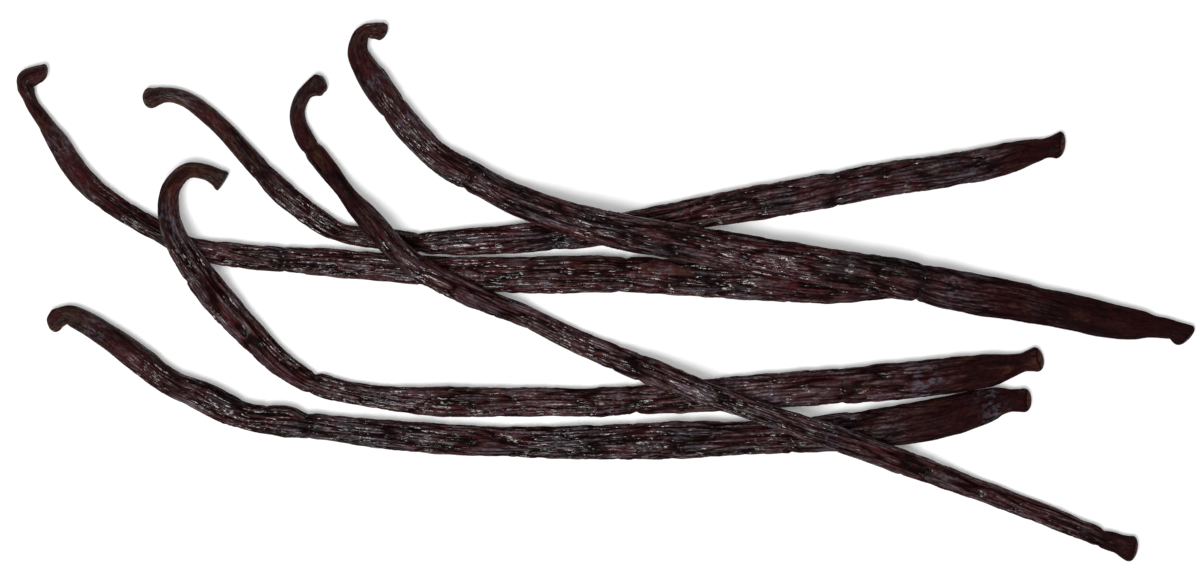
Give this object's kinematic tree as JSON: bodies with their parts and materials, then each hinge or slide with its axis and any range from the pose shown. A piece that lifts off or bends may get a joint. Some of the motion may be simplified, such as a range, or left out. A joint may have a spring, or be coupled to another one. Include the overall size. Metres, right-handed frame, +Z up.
{
  "type": "bundle of vanilla pods",
  "caption": "Loose bundle of long, wrinkled dark vanilla pods with hooked stem ends, lying crossed over each other.",
  "frame": {"origin": "on the ground under the middle of the bundle's box", "axes": "+X along the pods from the hooked stem ends to the blossom ends, +Y across the bundle, +Z up"},
  "size_m": [0.2234, 0.102, 0.009],
  "materials": {
    "pod_skin": "wrinkled, leathery and slightly oily"
  },
  "bodies": {
    "root": {"pod_elbow_stem": "pod_skin", "pod_blunt_stem": "pod_skin", "pod_front": "pod_skin", "pod_curled_stem": "pod_skin", "pod_broad": "pod_skin", "pod_thin": "pod_skin"}
  },
  "joints": []
}
